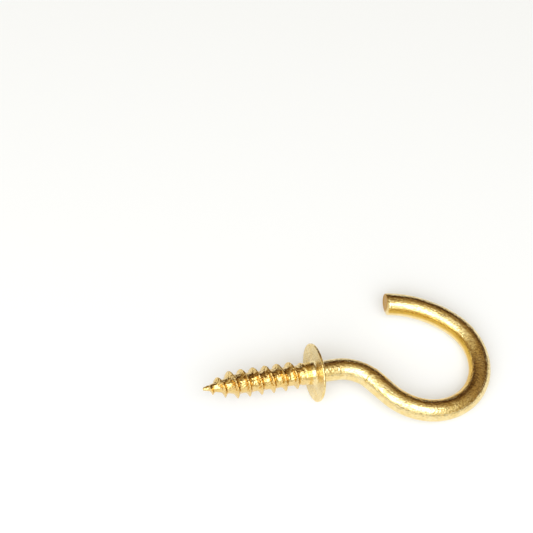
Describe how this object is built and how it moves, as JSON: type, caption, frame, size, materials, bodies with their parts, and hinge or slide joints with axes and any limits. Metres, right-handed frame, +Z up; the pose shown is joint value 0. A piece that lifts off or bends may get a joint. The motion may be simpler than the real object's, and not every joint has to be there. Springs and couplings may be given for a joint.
{
  "type": "cup hook",
  "caption": "Screw-in cup hook of bent brass wire, with a coarse wood screw thread, a thin pressed collar, a gooseneck bend and a round open loop.",
  "frame": {"origin": "centre of the collar's seating face, on the axis of the screw", "axes": "+X along the hook from the collar towards the far side of the loop, +Y towards the side the free end is on, +Z up as it lies on a table"},
  "size_m": [0.0309, 0.0154, 0.006],
  "materials": {
    "brass": "bright drawn and plated, lightly rubbed"
  },
  "bodies": {
    "root": {"cup_hook": "brass"}
  },
  "joints": []
}
